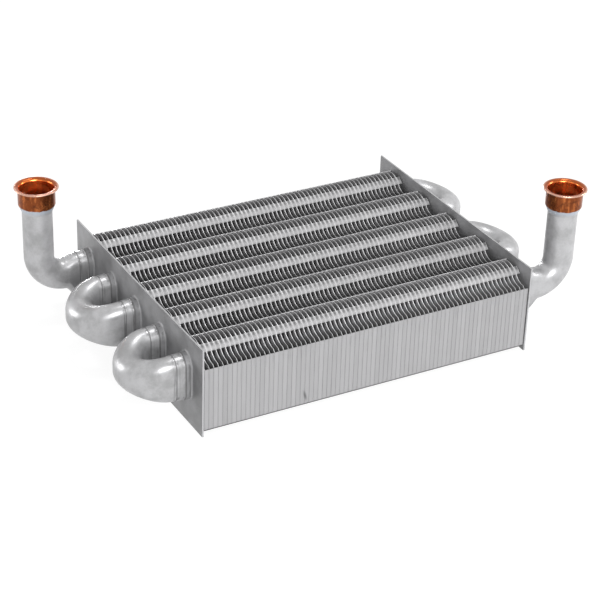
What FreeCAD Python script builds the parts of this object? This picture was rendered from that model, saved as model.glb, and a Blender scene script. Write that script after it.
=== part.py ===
import FreeCAD, Part
import os
import re
import Sketcher
from FreeCAD import Placement, Rotation, Vector

# Gas-to-water heat exchanger of a boiler, in millimetres, +Z up. The water tubes run along X, from
# the left end plate to the right one, and the wall of fin flanges at -Y is its front. The origin is
# on the ground plane, below the middle of the fin pack: the exchanger stands on its end plates.

TUBE_COUNT = 5
CROWN_ANGLES = (0, 22.5, 45, 67.5, 90, 112.5, 135, 157.5, 180)
FLARE_SHARES = (0, 0.33, 0.67)
BEND_ANGLES = (0, 22.5, 45, 67.5)
SOCKET_WIDTH = "tube_width + 2 * (fit_gap + socket_wall)"
SOCKET_TALL = "tube_tall + 2 * (fit_gap + socket_wall)"

SIZES = (
    ("block_length", 225, "outer face to outer face of the end plates"),
    ("plate_depth", 180, "end plate, front to back"),
    ("plate_height", 58, "end plate, bottom to top"),
    ("plate_wall", 1.0, "end plate sheet"),
    ("collar_reach", 3.7, "drawn collar, out from the plate"),
    ("collar_wall", 1.4, "drawn collar"),
    ("collar_fillet", 1.2, "root of the drawn collar"),
    ("tube_pitch", 35, "spacing of the water tubes"),
    ("tube_rise", 31.5, "tube axis above the ground"),
    ("tube_width", 11.4, "oblong tube, across"),
    ("tube_tall", 28, "oblong tube, bottom to top"),
    ("tube_wall", 0.8, "oblong tube"),
    ("fit_gap", 0.05, "brazing gap all round a tube"),
    ("socket_reach", 5.8, "socket of a bend or elbow, along the tube"),
    ("socket_wall", 0.8, "socket of a bend or elbow"),
    ("socket_floor", 0.8, "from the end of the tube to the end of the socket"),
    ("rim_chamfer", 0.3, "outer rim of a socket"),
    ("leg_width", 12.6, "bend just past its socket, across"),
    ("leg_tall", 29.2, "bend just past its socket, bottom to top"),
    ("leg_length", 1.0, "straight leg between socket and crown"),
    ("crown_width", 18, "crown of a return bend, across"),
    ("crown_tall", 21, "crown of a return bend, bottom to top"),
    ("bend_wall", 0.9, "sheet of bends and elbows"),
    ("pipe_diameter", 18.8, "round pipe of an elbow"),
    ("flare_length", 7.6, "from the oblong socket to the throat of an elbow"),
    ("throat_width", 14.5, "throat of an elbow, where its bend starts, across"),
    ("throat_tall", 21, "throat of an elbow, bottom to top"),
    ("throat_drop", 7.9, "bottom of the throat below the tube axis"),
    ("elbow_radius", 15.9, "right-angled bend, to the axis of the riser"),
    ("elbow_flat", 0.8, "back of the right-angled bend, flattened halfway round"),
    ("mouth_height", 97.5, "mouth of the bell above the ground"),
    ("bell_diameter", 23, "bell, outside"),
    ("bell_wall", 1.0, "bell"),
    ("bell_depth", 11.5, "from the mouth to the foot of the bell"),
    ("shoulder_height", 5, "cone between riser and bell"),
    ("lip_diameter", 27.5, "rolled lip of the bell"),
    ("lip_radius", 1.0, "outer turn of the rolled lip"),
    ("fin_pitch", 3.0, "spacing of the fins"),
    ("fin_wall", 0.4, "fin sheet"),
    ("fin_inset", 0.6, "fin wall behind the edge of the end plate"),
    ("fin_bottom", 3.5, "lower edge of the fins above the ground"),
    ("crest_height", 54.6, "top of the scallops above the ground"),
    ("crest_radius", 12, "scallop over a tube"),
    ("valley_height", 46, "floor between two scallops above the ground"),
    ("flange_height", 44.3, "top of the folded edge above the ground"),
    ("flange_gap", 0.1, "from a folded edge or a tab to the next fin"),
    ("tab_width", 4.0, "tab on the slope of a scallop, across"),
    ("strip_setback", 12, "from the plate's outer face to the end of a turbulator"),
    ("strip_wall", 0.5, "turbulator sheet"),
    ("strip_wave", 20, "one zigzag of a turbulator"),
    ("strip_gap", 0.1, "from a turbulator to the flat walls of its tube"),
)

doc = FreeCAD.newDocument("HeatExchanger")


def make_sheet():
    """Write the driving dimensions to a spreadsheet, each under its alias."""
    sheet = doc.addObject("Spreadsheet::Sheet", "Sizes")
    for row, (alias, value, meaning) in enumerate(SIZES, start=1):
        sheet.set(f"A{row}", meaning)
        sheet.set(f"B{row}", str(value))
        sheet.setAlias(f"B{row}", alias)
    doc.recompute()


def bound(formula):
    """Turn a formula over size names into an expression over the spreadsheet's cells."""
    return re.sub(r"\b[a-z]+_[a-z_]+\b", r"Sizes.\g<0>", formula)


def bind(thing, **formulas):
    """Bind properties to formulas; a double underscore stands for a dot in the property's name."""
    for name, formula in formulas.items():
        thing.setExpression(name.replace("__", "."), bound(formula))


def value_of(thing, formula):
    """Give a formula's present value as a plain number."""
    result = thing.evalExpression(bound(formula))
    return float(getattr(result, "Value", result))


def make_body(label, x="0", y="0", z="0", turn=0):
    """Start a sub-part: a body placed by formulas and turned about the vertical."""
    body = doc.addObject("PartDesign::Body", label)
    body.Label = label
    body.Placement.Rotation = Rotation(Vector(0, 0, 1), turn)
    bind(body, Placement__Base__x=x, Placement__Base__y=y, Placement__Base__z=z)
    return body


def origin_feature(body, role):
    """Find an origin plane or axis of a body by its role."""
    return next(item for item in body.Origin.OriginFeatures if item.Role == role)


def make_sketch(body, name, plane, x="0", y="0", z="0", turn=0, tilt=0):
    """Attach a sketch to an origin plane, moved in its axes, turned about its Y or tilted about its X."""
    sketch = body.newObject("Sketcher::SketchObject", name)
    sketch.AttachmentSupport = (origin_feature(body, plane), [""])
    sketch.MapMode = "FlatFace"
    rotation = Rotation(Vector(0, 1, 0), turn) * Rotation(Vector(1, 0, 0), tilt)
    sketch.AttachmentOffset = Placement(Vector(0, 0, 0), rotation)
    bind(sketch, AttachmentOffset__Base__x=x, AttachmentOffset__Base__y=y, AttachmentOffset__Base__z=z)
    return sketch


def fix_point(sketch, kind, point, formula):
    """Dimension a point, given as geometry and end, from the sketch's origin."""
    constraint = Sketcher.Constraint(kind, -1, 1, *point, value_of(sketch, formula))
    index = sketch.addConstraint(constraint)
    sketch.setExpression(f"Constraints[{index}]", bound(formula))


def add_edge(sketch, here, step):
    """Add a line or an arc to a sketch and return its two ends, as geometry and end."""
    index = sketch.GeometryCount
    end = Vector(value_of(sketch, step[0]), value_of(sketch, step[1]), 0)
    if len(step) == 2:
        sketch.addGeometry(Part.LineSegment(here, end), False)
        return end, (index, 1), (index, 2)
    centre = Vector(value_of(sketch, step[2]), value_of(sketch, step[3]), 0)
    circle = Part.Circle(centre, Vector(0, 0, 1), (here - centre).Length)
    turns_left = step[4]
    span = (here, end) if turns_left else (end, here)
    arc = Part.ArcOfCircle(circle, circle.parameter(span[0]), circle.parameter(span[1]))
    sketch.addGeometry(arc, False)
    fix_point(sketch, "DistanceX", (index, 3), step[2])
    fix_point(sketch, "DistanceY", (index, 3), step[3])
    return end, (index, 1 if turns_left else 2), (index, 2 if turns_left else 1)


def draw_chain(sketch, start, *steps):
    """Draw lines and arcs through points given as formulas.

    A line's step is (x, y) of its end. An arc's step adds the x and y of its centre and
    whether it turns left. Each end has as many dimensions as it has freedoms.
    """
    here = Vector(value_of(sketch, start[0]), value_of(sketch, start[1]), 0)
    opening = joint = None
    for step in steps:
        end, first, last = add_edge(sketch, here, step)
        if opening is None:
            opening = first
            fix_point(sketch, "DistanceX", first, start[0])
            fix_point(sketch, "DistanceY", first, start[1])
        else:
            sketch.addConstraint(Sketcher.Constraint("Coincident", *joint, *first))
        if step is start:
            sketch.addConstraint(Sketcher.Constraint("Coincident", *last, *opening))
        elif len(step) == 2:
            fix_point(sketch, "DistanceX", last, step[0])
            fix_point(sketch, "DistanceY", last, step[1])
        elif is_beside(sketch, step):
            fix_point(sketch, "DistanceY", last, step[1])
        else:
            fix_point(sketch, "DistanceX", last, step[0])
        here, joint = end, last


def is_beside(sketch, step):
    """Tell whether an arc ends beside its centre, and not above or below it."""
    across = value_of(sketch, f"({step[0]}) - ({step[2]})")
    upright = value_of(sketch, f"({step[1]}) - ({step[3]})")
    return abs(across) > abs(upright)


def draw_outline(sketch, start, *steps):
    """Draw a chain and close it with a line."""
    draw_chain(sketch, start, *steps, start)


def draw_rectangle(sketch, left, right, low, high):
    """Draw a rectangle between four formulas."""
    draw_outline(sketch, (left, low), (right, low), (right, high), (left, high))


def draw_oblong(sketch, width, tall, middle="0"):
    """Draw an upright slot about a point on the sketch's horizontal axis."""
    right = f"{middle} + ({width}) / 2"
    left = f"{middle} - ({width}) / 2"
    rise = f"(({tall}) - ({width})) / 2"
    top = (left, rise, middle, rise, True)
    bottom = (right, f"-{rise}", middle, f"-{rise}", True)
    draw_outline(sketch, (right, rise), top, (left, f"-{rise}"), bottom)


def draw_circle(sketch, diameter):
    """Draw a circle about the sketch's origin."""
    radius = value_of(sketch, diameter) / 2
    index = sketch.addGeometry(Part.Circle(Vector(0, 0, 0), Vector(0, 0, 1), radius), False)
    sketch.addConstraint(Sketcher.Constraint("Coincident", index, 3, -1, 1))
    number = sketch.addConstraint(Sketcher.Constraint("Diameter", index, 2 * radius))
    sketch.setExpression(f"Constraints[{number}]", bound(diameter))


def extrude(body, kind, name, sketch, length, reverse=False, both_ways=False):
    """Pad or pocket a sketch by a formula."""
    feature = body.newObject(f"PartDesign::{kind}", name)
    feature.Profile = sketch
    feature.Reversed = reverse
    feature.Midplane = both_ways
    bind(feature, Length=length)
    return feature


def loft(body, kind, name, sections):
    """Loft through sketches in order."""
    feature = body.newObject(f"PartDesign::{kind}Loft", name)
    feature.Profile = sections[0]
    feature.Sections = sections[1:]


def repeat_along(body, name, axis, spacing, count, originals=None):
    """Repeat features, or the whole sub-part where none are given, along an origin axis."""
    doc.recompute()
    pattern = body.newObject("PartDesign::LinearPattern", name)
    if originals:
        pattern.Originals = originals
    else:
        pattern.TransformMode = "Whole shape"
        pattern.Refine = False
    pattern.Direction = (origin_feature(body, axis), [""])
    pattern.Mode = "Spacing"
    bind(pattern, Offset=spacing, Occurrences=count)
    body.Tip = pattern


def dress_edges(body, kind, name, size_property, size, picked):
    """Fillet or chamfer the edges of the body that a test picks."""
    doc.recompute()
    base = body.Tip
    names = [f"Edge{n}" for n, edge in enumerate(base.Shape.Edges, start=1) if picked(edge)]
    feature = body.newObject(f"PartDesign::{kind}", name)
    feature.Base = (base, names)
    bind(feature, **{size_property: size})


def loop_test(body, width, tall):
    """Make a test for the edges of oblongs of one size that lie in a body's plane at X = 0."""
    high = value_of(body, tall)
    straight = value_of(body, f"({tall}) - ({width})")
    across = value_of(body, width)

    def picked(edge):
        box = edge.BoundBox
        in_plane = abs(box.XMin) < 0.001 and box.XLength < 0.001
        is_side = abs(box.ZLength - straight) < 0.01 and box.YLength < 0.01
        is_end = abs(box.YLength - across) < 0.01 and box.ZLength < high / 2
        return in_plane and (is_side or is_end)
    return picked


def tube_offset(number):
    """Give the formula of a tube's place along Y; the first tube is at the rear."""
    return f"({(TUBE_COUNT - 1) / 2 - number} * tube_pitch)"


def make_end_plate(label, x, turn):
    """Flat sheet with a drawn collar round each tube, its outer face at local X = 0."""
    body = make_body(label, x=x, turn=turn)
    sheet_sketch = make_sketch(body, "SheetSketch", "YZ_Plane")
    draw_rectangle(sheet_sketch, "-plate_depth / 2", "plate_depth / 2", "0", "plate_height")
    extrude(body, "Pad", "SheetPad", sheet_sketch, "plate_wall", reverse=True)
    first = tube_offset(TUBE_COUNT - 1)
    width = "tube_width + 2 * (fit_gap + collar_wall)"
    tall = "tube_tall + 2 * (fit_gap + collar_wall)"
    collar_sketch = make_sketch(body, "CollarSketch", "YZ_Plane", x=first, y="tube_rise")
    draw_oblong(collar_sketch, width, tall)
    collar = extrude(body, "Pad", "CollarPad", collar_sketch, "collar_reach")
    hole_sketch = make_sketch(body, "HoleSketch", "YZ_Plane", x=first, y="tube_rise", z="collar_reach")
    draw_oblong(hole_sketch, "tube_width + 2 * fit_gap", "tube_tall + 2 * fit_gap")
    hole = extrude(body, "Pocket", "HolePocket", hole_sketch, "collar_reach + plate_wall")
    repeat_along(body, "Collars", "Y_Axis", "tube_pitch", str(TUBE_COUNT), [collar, hole])
    dress_edges(body, "Fillet", "CollarFillet", "Radius", "collar_fillet", loop_test(body, width, tall))


def make_tube(label, y):
    """Oblong water tube, open at both ends, that reaches into the sockets of the bends."""
    body = make_body(label, y=y, z="tube_rise")
    sketch = make_sketch(body, "TubeSketch", "YZ_Plane")
    draw_oblong(sketch, "tube_width", "tube_tall")
    draw_oblong(sketch, "tube_width - 2 * tube_wall", "tube_tall - 2 * tube_wall")
    reach = "(collar_reach + socket_reach - socket_floor)"
    extrude(body, "Pad", "TubePad", sketch, f"block_length + 2 * {reach}", both_ways=True)


def make_turbulator(label, y):
    """Zigzag strip that stands upright in a tube, between its two flat walls."""
    waves = "floor((block_length - 2 * strip_setback) / strip_wave)"
    body = make_body(label, x=f"-strip_wave * {waves} / 2", y=y, z="tube_rise")
    sketch = make_sketch(body, "WaveSketch", "XY_Plane")
    side = "(tube_width / 2 - tube_wall - strip_gap)"
    slant = f"strip_wall * sqrt(1 + (4 * {side} / strip_wave) ^ 2)"
    draw_outline(
        sketch,
        ("0", f"-{side}"),
        ("strip_wave / 2", f"{side} - {slant}"),
        ("strip_wave", f"-{side}"),
        ("strip_wave", f"-{side} + {slant}"),
        ("strip_wave / 2", side),
        ("0", f"-{side} + {slant}"),
    )
    flat_wall = "tube_tall - tube_width"
    wave = extrude(body, "Pad", "WavePad", sketch, f"{flat_wall} - 2 * strip_gap", both_ways=True)
    repeat_along(body, "Waves", "X_Axis", "strip_wave", waves, [wave])


def draw_tab(sketch, first, last):
    """Draw a tab's section: a strip of the scallop's own arc, between two places across it."""
    share = "((crest_radius - fin_wall) / crest_radius)"
    first_rise = f"sqrt(crest_radius ^ 2 - ({first}) ^ 2)"
    last_rise = f"sqrt(crest_radius ^ 2 - ({last}) ^ 2)"
    draw_outline(
        sketch,
        (first, first_rise),
        (last, last_rise, "0", "0", True),
        (f"{share} * ({last})", f"{share} * {last_rise}"),
        (f"{share} * ({first})", f"{share} * {first_rise}", "0", "0", False),
    )


def make_fin_pack(label):
    """Scalloped fins. Their folded front and rear edges form the side walls of the pack, and the
    tabs on both slopes of each scallop reach over to the next fin."""
    count = "floor((block_length - 2 * plate_wall) / fin_pitch)"
    body = make_body(label, x=f"-fin_pitch * {count} / 2")
    edge = "(plate_depth / 2 - fin_inset)"
    crest = "(crest_height - crest_radius)"
    dip = f"(valley_height - {crest})"
    valley_radius = f"((tube_pitch ^ 2 / 4 + {dip} ^ 2 - crest_radius ^ 2) / (2 * (crest_radius - {dip})))"
    valley = f"(valley_height + {valley_radius})"
    share = f"(crest_radius / (crest_radius + {valley_radius}))"
    shift = f"({share} * tube_pitch / 2)"
    join = f"({crest} + {share} * ({valley} - {crest}))"
    reach = f"({TUBE_COUNT / 2} * tube_pitch)"
    steps = [(edge, "fin_bottom"), (edge, "flange_height"), (reach, "valley_height")]
    gap = reach
    for number in range(TUBE_COUNT):
        middle = tube_offset(number)
        steps.append((f"{middle} + {shift}", join, gap, valley, False))
        steps.append((f"{middle} - {shift}", join, middle, crest, True))
        gap = f"({middle} - tube_pitch / 2)"
    steps.append((gap, "valley_height", gap, valley, False))
    steps.append((f"-{edge}", "flange_height"))
    fin_sketch = make_sketch(body, "FinSketch", "YZ_Plane")
    draw_outline(fin_sketch, (f"-{edge}", "fin_bottom"), *steps)
    extrude(body, "Pad", "FinPad", fin_sketch, "fin_wall")
    flange_sketch = make_sketch(body, "FlangeSketch", "YZ_Plane")
    draw_rectangle(flange_sketch, f"-{edge}", f"-{edge} + fin_wall", "fin_bottom", "flange_height")
    draw_rectangle(flange_sketch, f"{edge} - fin_wall", edge, "fin_bottom", "flange_height")
    extrude(body, "Pad", "FlangePad", flange_sketch, "fin_pitch - flange_gap")
    first = tube_offset(TUBE_COUNT - 1)
    tab_sketch = make_sketch(body, "TabSketch", "YZ_Plane", x=first, y=crest)
    draw_tab(tab_sketch, shift, f"{shift} - tab_width")
    draw_tab(tab_sketch, f"tab_width - {shift}", f"-{shift}")
    tabs = extrude(body, "Pad", "TabPad", tab_sketch, "fin_pitch - flange_gap")
    hole_sketch = make_sketch(body, "HoleSketch", "YZ_Plane", x=first, y="tube_rise")
    draw_oblong(hole_sketch, "tube_width + 2 * fit_gap", "tube_tall + 2 * fit_gap")
    hole = extrude(body, "Pocket", "HolePocket", hole_sketch, "fin_wall", reverse=True)
    repeat_along(body, "Scallops", "Y_Axis", "tube_pitch", str(TUBE_COUNT), [tabs, hole])
    repeat_along(body, "Fins", "X_Axis", "fin_pitch", count)


def pad_legs(body, middles):
    """Build the sockets over the tube ends and the straight legs behind them."""
    socket_sketch = make_sketch(body, "SocketSketch", "YZ_Plane")
    leg_sketch = make_sketch(body, "LegSketch", "YZ_Plane", z="socket_reach")
    for middle in middles:
        draw_oblong(socket_sketch, SOCKET_WIDTH, SOCKET_TALL, middle)
        draw_oblong(leg_sketch, "leg_width", "leg_tall", middle)
    extrude(body, "Pad", "SocketPad", socket_sketch, "socket_reach")
    extrude(body, "Pad", "LegPad", leg_sketch, "leg_length")


def bore_legs(body, middles):
    """Bore the sockets to the tube's size, and the legs from there on."""
    depth = "(socket_reach - socket_floor)"
    bore_sketch = make_sketch(body, "BoreSketch", "YZ_Plane")
    inner_sketch = make_sketch(body, "InnerLegSketch", "YZ_Plane", z=depth)
    for middle in middles:
        draw_oblong(bore_sketch, "tube_width + 2 * fit_gap", "tube_tall + 2 * fit_gap", middle)
        draw_oblong(inner_sketch, "leg_width - 2 * bend_wall", "leg_tall - 2 * bend_wall", middle)
    extrude(body, "Pocket", "BorePocket", bore_sketch, depth, reverse=True)
    extrude(body, "Pocket", "InnerLegPocket", inner_sketch, "socket_floor + leg_length", reverse=True)


def chamfer_rims(body):
    """Break the outer edge of each socket's mouth."""
    picked = loop_test(body, SOCKET_WIDTH, SOCKET_TALL)
    dress_edges(body, "Chamfer", "RimChamfer", "Size", "rim_chamfer", picked)


def mouth_place(on_right):
    """Give the place along X and the turn of a piece whose sockets butt against the collars."""
    reach = "(block_length / 2 + collar_reach)"
    return (reach, 0) if on_right else (f"-{reach}", 180)


def crown_sections(body, name, wall):
    """Sketch the crown's sections: the legs' slot swells to a rounder one halfway round."""
    sections = []
    for angle in CROWN_ANGLES:
        swell = f"sin({angle} deg) ^ 1.5"
        across = f"cos({angle} deg) * tube_pitch / 2"
        out = f"socket_reach + leg_length + sin({angle} deg) * tube_pitch / 2"
        sketch = make_sketch(body, name, "YZ_Plane", x=across, z=out, turn=-angle)
        width = f"leg_width + (crown_width - leg_width) * {swell} - 2 * {wall}"
        tall = f"leg_tall + (crown_tall - leg_tall) * {swell} - 2 * {wall}"
        draw_oblong(sketch, width, tall)
        sections.append(sketch)
    return sections


def make_return_bend(label, number, on_right):
    """Pressed U bend from one tube to the next, with its sockets' mouths at local X = 0."""
    x, turn = mouth_place(on_right)
    body = make_body(label, x=x, y=tube_offset(number + 0.5), z="tube_rise", turn=turn)
    middles = ("tube_pitch / 2", "-tube_pitch / 2")
    pad_legs(body, middles)
    loft(body, "Additive", "Crown", crown_sections(body, "CrownSketch", "0"))
    bore_legs(body, middles)
    loft(body, "Subtractive", "CrownBore", crown_sections(body, "CrownBoreSketch", "bend_wall"))
    chamfer_rims(body)


def elbow_places():
    """Give the start and the centre of an elbow's bend, and the radius of its back."""
    start = "(socket_reach + leg_length + flare_length)"
    back = "(elbow_radius + pipe_diameter / 2)"
    return start, f"({back} - throat_drop)", back


def flare_sections(body, name, wall):
    """Sketch the sections that narrow the leg's slot down to the elbow's throat."""
    sections = []
    for share in FLARE_SHARES:
        blend = round(share * share * (3 - 2 * share), 3)
        rise = f"(throat_tall / 2 - throat_drop) * {blend}"
        out = f"socket_reach + leg_length + flare_length * {share}"
        sketch = make_sketch(body, name, "YZ_Plane", y=rise, z=out)
        width = f"leg_width + (throat_width - leg_width) * {blend} - 2 * {wall}"
        tall = f"leg_tall + (throat_tall - leg_tall) * {blend} - 2 * {wall}"
        draw_oblong(sketch, width, tall)
        sections.append(sketch)
    return sections


def bend_sections(body, name, wall):
    """Sketch the sections that round off the throat's slot up the elbow's bend."""
    sections = []
    start, centre, back = elbow_places()
    for angle in BEND_ANGLES:
        width = f"(throat_width + (pipe_diameter - throat_width) * sin({angle} deg))"
        flat = f"elbow_flat * sin({2 * angle} deg)"
        tall = f"(throat_tall + (pipe_diameter - throat_tall) * sin({angle} deg) - {flat})"
        middle = f"({back} - {flat} - {tall} / 2)"
        rise = f"{centre} - {middle} * cos({angle} deg)"
        out = f"{start} + {middle} * sin({angle} deg)"
        sketch = make_sketch(body, name, "YZ_Plane", y=rise, z=out, tilt=-angle)
        draw_oblong(sketch, f"{width} - 2 * {wall}", f"{tall} - 2 * {wall}")
        sections.append(sketch)
    top = make_sketch(body, name, "YZ_Plane", y=centre, z=f"{start} + elbow_radius", tilt=-90)
    draw_circle(top, f"pipe_diameter - 2 * {wall}")
    return sections + [top]


def make_elbow(label, number, on_right):
    """Socket, flare, right-angled bend, riser and bell, drawn from one tube."""
    x, turn = mouth_place(on_right)
    body = make_body(label, x=x, y=tube_offset(number), z="tube_rise", turn=turn)
    start, centre, _ = elbow_places()
    foot = "(mouth_height - tube_rise - bell_depth - shoulder_height)"
    pad_legs(body, ("0",))
    outside = bend_sections(body, "BendSketch", "0")
    loft(body, "Additive", "Flare", flare_sections(body, "FlareSketch", "0") + outside[:1])
    loft(body, "Additive", "Bend", outside)
    extrude(body, "Pad", "RiserPad", outside[-1], f"{foot} - {centre}")
    bore_legs(body, ("0",))
    inside = bend_sections(body, "BendBoreSketch", "bend_wall")
    loft(body, "Subtractive", "FlareBore", flare_sections(body, "FlareBoreSketch", "bend_wall") + inside[:1])
    loft(body, "Subtractive", "BendBore", inside)
    extrude(body, "Pocket", "RiserPocket", inside[-1], f"{foot} - {centre}", reverse=True)
    bell_sketch = make_sketch(body, "BellSketch", "XZ_Plane", x=f"{start} + elbow_radius", y=foot)
    draw_bell(bell_sketch)
    bell = body.newObject("PartDesign::Revolution", "Bell")
    bell.Profile = bell_sketch
    bell.ReferenceAxis = (bell_sketch, ["V_Axis"])
    chamfer_rims(body)


def draw_bell(sketch):
    """Draw the wall of the bell beside its axis, from the foot of its shoulder to its lip."""
    outside = "bell_diameter / 2"
    inside = f"{outside} - bell_wall"
    turn_middle = f"{outside} + lip_radius"
    top = "(shoulder_height + bell_depth)"
    turn = f"({top} - bell_wall - lip_radius)"
    rim = "(lip_diameter - bell_wall) / 2"
    draw_outline(
        sketch,
        ("pipe_diameter / 2", "0"),
        (outside, "shoulder_height"),
        (outside, turn),
        (turn_middle, f"{turn} + lip_radius", turn_middle, turn, False),
        (rim, f"{turn} + lip_radius"),
        (rim, top, rim, f"{top} - bell_wall / 2", True),
        (turn_middle, top),
        (inside, turn, turn_middle, turn, True),
        (inside, "shoulder_height"),
        ("pipe_diameter / 2 - bend_wall", "0"),
    )


def export_parts():
    """Check every object and write each sub-part to its own file."""
    doc.recompute()
    failed = [item.Name for item in doc.Objects if "Invalid" in item.State or "Error" in item.State]
    if failed:
        raise RuntimeError(f"failed objects: {failed}")
    os.makedirs("parts", exist_ok=True)
    for body in doc.findObjects("PartDesign::Body"):
        if body.Shape.isNull() or not body.Shape.isValid():
            raise RuntimeError(f"bad shape: {body.Label}")
        body.Shape.exportStep(f"parts/{body.Label}.step")
        print(body.Label, len(body.Shape.Solids), round(body.Shape.Volume, 1))


make_sheet()
make_end_plate("left_end_plate", "-block_length / 2", 180)
make_end_plate("right_end_plate", "block_length / 2", 0)
for tube in range(TUBE_COUNT):
    make_tube(f"tube_{tube + 1}", tube_offset(tube))
    make_turbulator(f"turbulator_{tube + 1}", tube_offset(tube))
make_fin_pack("fin_pack")
for gap in range(TUBE_COUNT - 1):
    make_return_bend(f"return_bend_{gap + 1}", gap, on_right=gap % 2 == 0)
make_elbow("inlet_elbow", 0, on_right=False)
make_elbow("outlet_elbow", TUBE_COUNT - 1, on_right=TUBE_COUNT % 2 == 1)
export_parts()
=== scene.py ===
"""Looks of a boiler heat exchanger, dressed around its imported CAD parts.

Lengths are in metres in the frame of the CAD: +X along the water tubes, +Y to the rear, +Z up.
"""

import logging
import math
from abc import ABC, abstractmethod
from dataclasses import dataclass
from enum import Enum
from random import Random

import bmesh
import bpy
from mathutils import Matrix, Vector


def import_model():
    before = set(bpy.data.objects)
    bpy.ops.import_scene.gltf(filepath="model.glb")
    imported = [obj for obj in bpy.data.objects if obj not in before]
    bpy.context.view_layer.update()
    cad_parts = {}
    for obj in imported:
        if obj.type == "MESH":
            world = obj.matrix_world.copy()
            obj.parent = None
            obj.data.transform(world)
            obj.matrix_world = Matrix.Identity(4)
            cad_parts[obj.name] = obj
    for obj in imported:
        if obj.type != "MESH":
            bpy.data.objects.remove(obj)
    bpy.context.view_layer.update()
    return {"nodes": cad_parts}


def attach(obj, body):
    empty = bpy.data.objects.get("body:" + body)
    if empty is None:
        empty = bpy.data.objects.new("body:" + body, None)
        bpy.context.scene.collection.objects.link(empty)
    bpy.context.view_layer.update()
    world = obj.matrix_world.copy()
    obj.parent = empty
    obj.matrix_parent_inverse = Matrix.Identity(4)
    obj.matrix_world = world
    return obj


LOG = logging.getLogger("heat_exchanger")
MM = 0.001
PLATE_FACE = 112.5 * MM
COLLAR_RIM = 116.2 * MM
SOCKET_END = 122.0 * MM
RISER_X = 146.5 * MM
RISER_Y = 70.0 * MM
TUBE_PITCH = 35.0 * MM
TUBE_MIDDLE = 31.5 * MM
FIN_PITCH = 3.0 * MM
TUBE_COUNT = 5

Colour = tuple[float, float, float]
Filled = tuple[float, float, float, float]
Point = tuple[float, float, float]
Span = tuple[float, float]
WHITE: Filled = (1.0, 1.0, 1.0, 1.0)
NOISE_MEAN = 0.5
HALF_WAY = 0.5


class Side(Enum):
    """The end of the fin pack that a piece stands at."""

    LEFT = -1
    RIGHT = 1


class Signal:
    """A number, colour or vector over a surface. Arithmetic on numbers adds Math nodes."""

    def __init__(self, bench: "Bench", socket: bpy.types.NodeSocket) -> None:
        """Wraps a socket.

        Args:
            bench: The material or world that the socket belongs to.
            socket: The output socket that carries it.
        """
        self.bench = bench
        self.socket = socket

    def _math(self, operation: str, *others: "Signal | float", clamp: bool = False) -> "Signal":
        """Adds one Math node.

        Args:
            operation: The node's operation.
            others: The operands after this one.
            clamp: Whether the result is held between 0 and 1.

        Returns:
            The result.
        """
        settings = {"operation": operation, "use_clamp": clamp}
        return self.bench.node("ShaderNodeMath", settings, dict(enumerate((self, *others))))

    def _reflected(self, operation: str, other: float) -> "Signal":
        """Adds one Math node with a plain number first.

        Args:
            operation: The node's operation.
            other: The first operand.

        Returns:
            The result.
        """
        return self.bench.node("ShaderNodeMath", {"operation": operation}, {0: other, 1: self})

    def __add__(self, other: "Signal | float") -> "Signal":
        """Sum."""
        return self._math("ADD", other)

    def __radd__(self, other: float) -> "Signal":
        """Sum with the number first."""
        return self._reflected("ADD", other)

    def __sub__(self, other: "Signal | float") -> "Signal":
        """Difference."""
        return self._math("SUBTRACT", other)

    def __rsub__(self, other: float) -> "Signal":
        """Difference with the number first."""
        return self._reflected("SUBTRACT", other)

    def __mul__(self, other: "Signal | float") -> "Signal":
        """Product."""
        return self._math("MULTIPLY", other)

    def __rmul__(self, other: float) -> "Signal":
        """Product with the number first."""
        return self._reflected("MULTIPLY", other)

    def __truediv__(self, other: "Signal | float") -> "Signal":
        """Quotient."""
        return self._math("DIVIDE", other)

    def __rtruediv__(self, other: float) -> "Signal":
        """Quotient with the number first."""
        return self._reflected("DIVIDE", other)

    def __pow__(self, other: "Signal | float") -> "Signal":
        """Power."""
        return self._math("POWER", other)

    def __abs__(self) -> "Signal":
        """Size without the sign."""
        return self._math("ABSOLUTE")

    def floor(self) -> "Signal":
        """Whole part."""
        return self._math("FLOOR")

    def cosine(self) -> "Signal":
        """Cosine of an angle in radians."""
        return self._math("COSINE")

    def clamped(self) -> "Signal":
        """The number held between 0 and 1."""
        return self._math("ADD", 0.0, clamp=True)

    def larger(self, other: "Signal | float") -> "Signal":
        """The larger of two numbers."""
        return self._math("MAXIMUM", other)

    def ramp(self, low: float, high: float) -> "Signal":
        """Eases from 0 to 1.

        Args:
            low: Where the result is 0.
            high: Where the result is 1, which may be below low.

        Returns:
            The eased mask.
        """
        settings = {"interpolation_type": "SMOOTHSTEP"}
        if high < low:
            return 1.0 - self.bench.node("ShaderNodeMapRange", settings, {0: self, 1: high, 2: low})
        return self.bench.node("ShaderNodeMapRange", settings, {0: self, 1: low, 2: high})

    def near(self, value: float, reach: float) -> "Signal":
        """A mask that is 1 at a value and fades to 0 a reach away from it."""
        return abs(self - value).ramp(reach, 0.0)

    def between(self, low: float, high: float) -> "Signal":
        """A number that is low where this one is 0, and high where it is 1."""
        return low + self * (high - low)

    def share(self, amount: float) -> "Signal":
        """A part of a mask, held between 0 and 1."""
        return (self * amount).clamped()


@dataclass(frozen=True)
class Noise:
    """A smooth noise around 0.5.

    Attributes:
        scale: Its waves per metre, or 1 where stretch gives them.
        detail: Its number of finer layers.
        roughness: How strong the finer layers are.
        stretch: Its waves per metre along X, Y and Z, where they differ.
    """

    scale: float = 1.0
    detail: float = 3.0
    roughness: float = 0.5
    stretch: Point | None = None


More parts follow.
